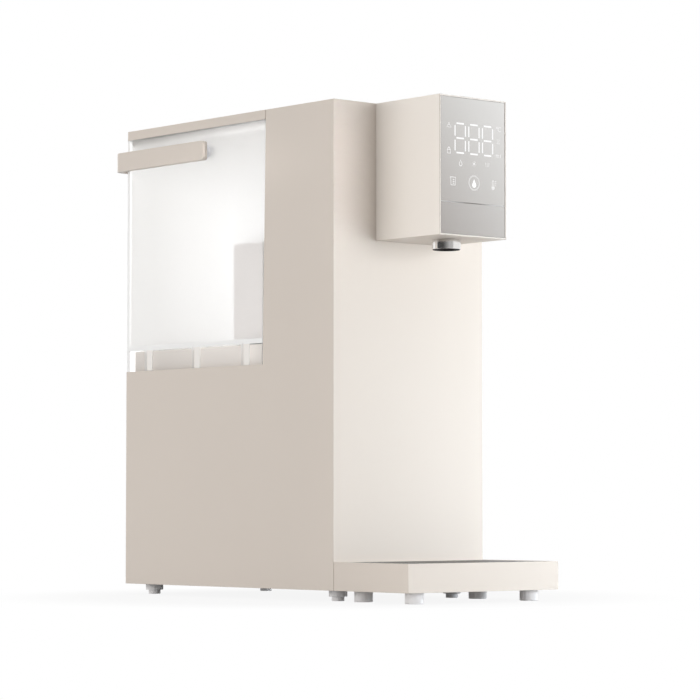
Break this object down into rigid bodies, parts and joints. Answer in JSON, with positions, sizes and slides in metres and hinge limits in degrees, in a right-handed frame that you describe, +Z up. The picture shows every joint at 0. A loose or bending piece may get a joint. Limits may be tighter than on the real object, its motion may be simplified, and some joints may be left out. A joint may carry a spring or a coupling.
{
  "type": "countertop water dispenser",
  "caption": "Countertop water dispenser with a filter column, a clear lift-out tank with carrying bail, a touch-display head over a removable drip tray, and pumps and heater inside.",
  "frame": {"origin": "on the floor, under the middle of the whole width and depth", "axes": "+Z up, front with the dispensing head and drip tray towards -Y, tank towards +Y"},
  "size_m": [0.195, 0.406, 0.433],
  "materials": {
    "shell": "fine satin moulded texture",
    "base": "moulded",
    "foot_cup": "smooth",
    "foot_pad": "matt",
    "gland": "smooth",
    "screw": "plated",
    "display_glass": "half-mirrored",
    "light_guide": "diffusing",
    "board": "solder resist",
    "touch_pad": "conductive foam",
    "outlet_metal": "satin chrome",
    "white_plastic": "smooth",
    "seal": "matt",
    "lid_seal": "milky silicone",
    "motor_metal": "drawn",
    "dark_plastic": "moulded",
    "hose": "silicone",
    "membrane_plastic": "smooth",
    "tank_clear": "clear, faintly frosted",
    "cage": "smooth",
    "grille_metal": "brushed"
  },
  "bodies": {
    "housing": {"left_side_cover": "shell", "right_side_cover": "shell", "front_cover": "shell", "rear_cover": "shell", "tank_bay_wall": "shell", "tank_deck": "shell", "tank_plinth": "shell", "head_shell": "shell", "base_plate": "base", "manifold_stand": "base", "foot_cups": "foot_cup", "foot_pads": "foot_pad", "pump_mounts": "foot_pad", "cord_gland": "gland", "outlet_insert": "gland", "housing_screws": "screw", "pump_bracket": "screw", "display_glass": "display_glass", "lower_fascia": "display_glass", "light_guide": "light_guide", "display_board": "board", "main_board": "board", "touch_pads": "touch_pad", "outlet_ring": "outlet_metal", "filter_manifold": "white_plastic", "solenoid_valves": "white_plastic", "heater_clamps": "white_plastic", "pure_water_tank": "white_plastic", "board_bracket": "white_plastic", "filter_seals": "seal", "pump_motor": "motor_metal", "water_heater": "motor_metal", "pump_head": "dark_plastic", "delivery_pump": "dark_plastic", "board_parts": "dark_plastic", "dock_sockets": "dark_plastic", "dock_hoses": "hose", "pump_hoses": "hose", "pure_hose": "hose", "feed_hoses": "hose", "outlet_hose": "hose"},
    "water_tank": {"water_tank": "tank_clear", "valve_bodies": "white_plastic", "valve_seals": "seal", "valve_springs": "screw", "handle_pins": "foot_cup", "float_cage": "cage"},
    "valve_poppets": {"valve_poppets": "dark_plastic"},
    "level_float": {"level_float": "white_plastic"},
    "tank_lid": {"tank_lid": "shell", "lid_seal": "lid_seal"},
    "carry_handle": {"carry_handle": "shell"},
    "filter_cover": {"filter_cover": "shell"},
    "prefilter": {"prefilter_cartridge": "white_plastic"},
    "membrane": {"membrane_cartridge": "membrane_plastic"},
    "drip_tray": {"drip_tray": "shell", "tray_feet": "foot_cup"},
    "drip_grille": {"drip_grille": "grille_metal"}
  },
  "joints": [
    {"name": "tank_lift", "type": "slide", "parent": "housing", "child": "water_tank", "axis": [0, 0, 1], "range_m": [0, 0.24]},
    {"name": "valve_close", "type": "slide", "parent": "water_tank", "child": "valve_poppets", "axis": [0, 0, 1], "range_m": [-0.004, 0], "deforming": ["valve_springs"]},
    {"name": "float_rise", "type": "slide", "parent": "water_tank", "child": "level_float", "axis": [0, 0, 1], "range_m": [0, 0.055]},
    {"name": "lid_lift", "type": "slide", "parent": "water_tank", "child": "tank_lid", "axis": [0, 0, 1], "range_m": [0, 0.06]},
    {"name": "handle_swing", "type": "hinge", "parent": "water_tank", "child": "carry_handle", "pos_m": [0, 0.072, 0.4035], "axis": [1, 0, 0], "range_deg": [0, 90]},
    {"name": "cover_lift", "type": "slide", "parent": "housing", "child": "filter_cover", "axis": [0, 0, 1], "range_m": [0, 0.08]},
    {"name": "prefilter_twist", "type": "hinge", "parent": "housing", "child": "prefilter", "pos_m": [-0.041, -0.0605, 0.25], "axis": [0, 0, 1], "range_deg": [0, 60]},
    {"name": "membrane_twist", "type": "hinge", "parent": "housing", "child": "membrane", "pos_m": [0.041, -0.0605, 0.25], "axis": [0, 0, 1], "range_deg": [0, 60]},
    {"name": "tray_pull", "type": "slide", "parent": "housing", "child": "drip_tray", "axis": [0, -1, 0], "range_m": [0, 0.12]},
    {"name": "grille_lift", "type": "slide", "parent": "drip_tray", "child": "drip_grille", "axis": [0, 0, 1], "range_m": [0, 0.05]}
  ],
  "couplings": [
    {"joint": "valve_close", "follows": "tank_lift", "ratio": -0.0166}
  ]
}
